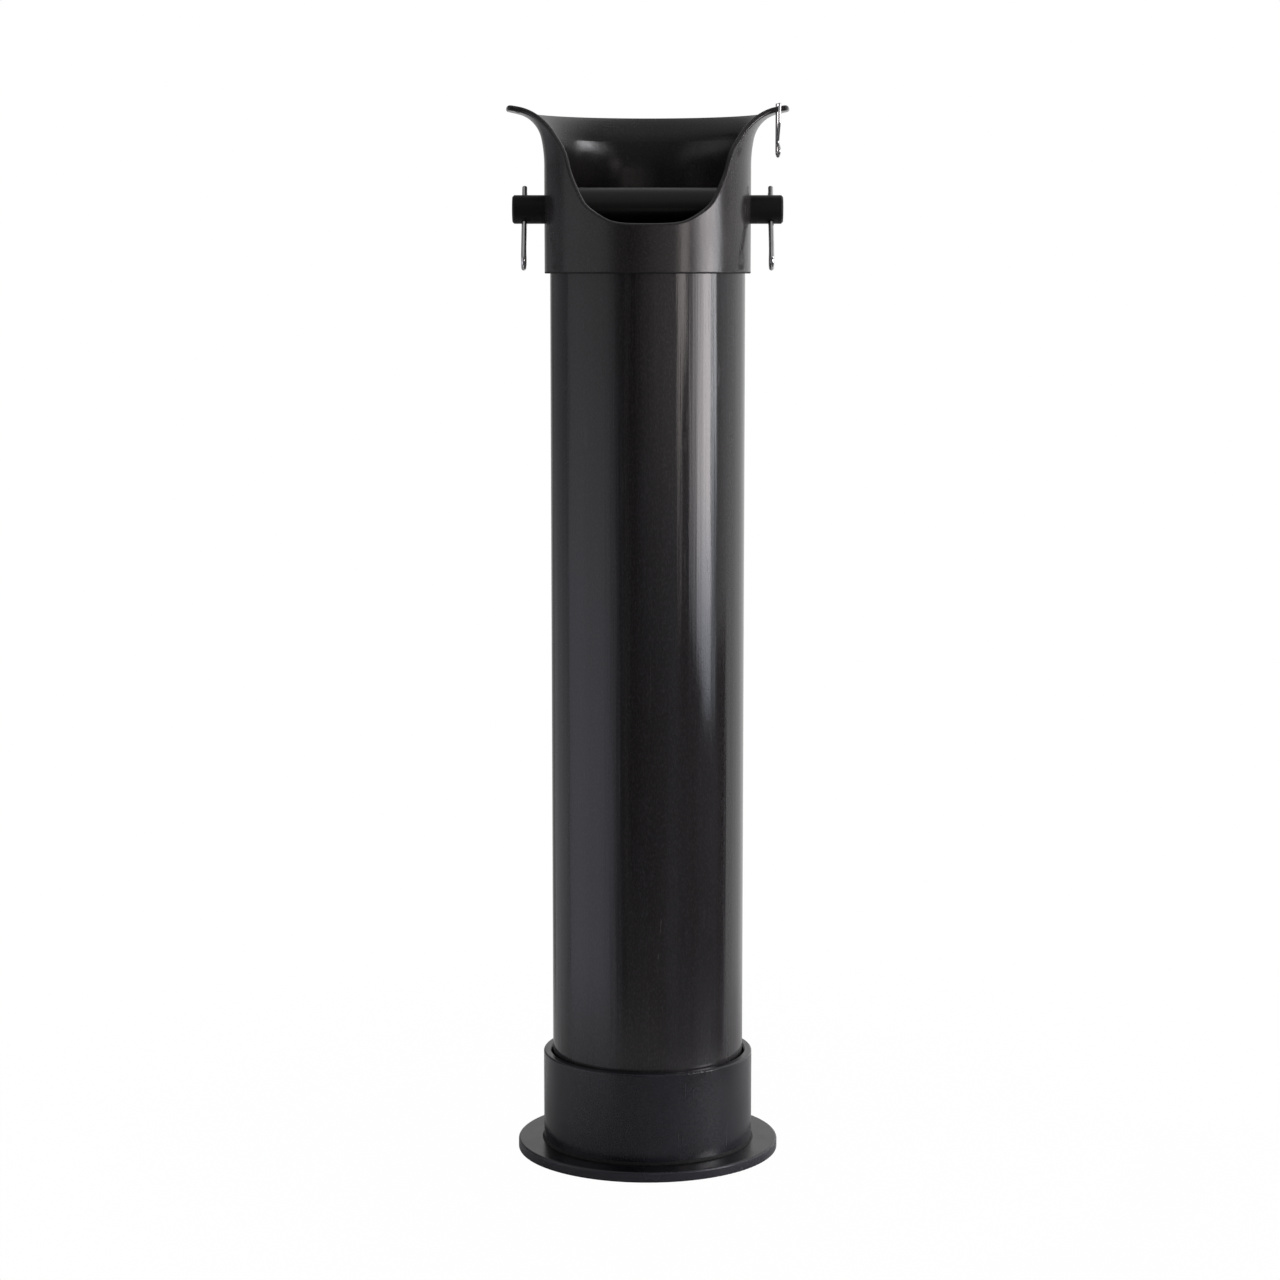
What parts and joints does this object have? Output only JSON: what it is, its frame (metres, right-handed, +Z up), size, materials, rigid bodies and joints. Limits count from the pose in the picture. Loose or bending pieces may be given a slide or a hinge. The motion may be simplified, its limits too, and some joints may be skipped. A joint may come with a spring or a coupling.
{
  "type": "drop tube feeder",
  "caption": "Upright black pipe in a round flanged foot, topped by a flared scoop mouth with a roller on a cross pin held by spring clips.",
  "frame": {"origin": "centre of the foot plate's underside, on the pipe's axis", "axes": "+Z up along the pipe, the low side of the scoop mouth faces -Y, the cross pin lies along X"},
  "size_m": [0.1584, 0.1506, 0.5993],
  "materials": {
    "pipe_plastic": "glossy black extruded pipe",
    "scoop_plastic": "glossy black moulding, finely scuffed",
    "foot_plastic": "satin black",
    "cement": "shiny dark solvent cement",
    "pin_plastic": "matt black rod",
    "roller_plastic": "satin black sleeve, sawn ends",
    "clip_steel": "bright plated spring wire"
  },
  "bodies": {
    "foot": {"base_plate": "foot_plastic", "base_collar": "foot_plastic", "glue_bead": "cement"},
    "pipe": {"main_pipe": "pipe_plastic"},
    "scoop": {"scoop": "scoop_plastic"},
    "pin": {"cross_pin": "pin_plastic"},
    "roller": {"roller": "roller_plastic"},
    "clip_left": {"pin_clip_left": "clip_steel"},
    "clip_right": {"pin_clip_right": "clip_steel"},
    "clip_ear": {"ear_clip": "clip_steel"}
  },
  "joints": [
    {"name": "pipe_lift", "type": "slide", "parent": "foot", "child": "pipe", "axis": [0, 0, 1], "range_m": [0, 0.06]},
    {"name": "scoop_lift", "type": "slide", "parent": "pipe", "child": "scoop", "axis": [0, 0, 1], "range_m": [0, 0.025]},
    {"name": "pin_turn", "type": "hinge", "parent": "scoop", "child": "pin", "pos_m": [0, 0, 0.5413], "axis": [1, 0, 0], "continuous": true},
    {"name": "roller_spin", "type": "hinge", "parent": "pin", "child": "roller", "pos_m": [0, 0, 0.5413], "axis": [1, 0, 0], "continuous": true},
    {"name": "left_clip_pull", "type": "slide", "parent": "pin", "child": "clip_left", "axis": [0, -0.5, -0.866], "range_m": [0, 0.032], "deforming": ["pin_clip_left"]},
    {"name": "right_clip_pull", "type": "slide", "parent": "pin", "child": "clip_right", "axis": [0, -0.5, -0.866], "range_m": [0, 0.032], "deforming": ["pin_clip_right"]},
    {"name": "ear_clip_pull", "type": "slide", "parent": "scoop", "child": "clip_ear", "axis": [0, 0, -1], "range_m": [0, 0.02]}
  ]
}
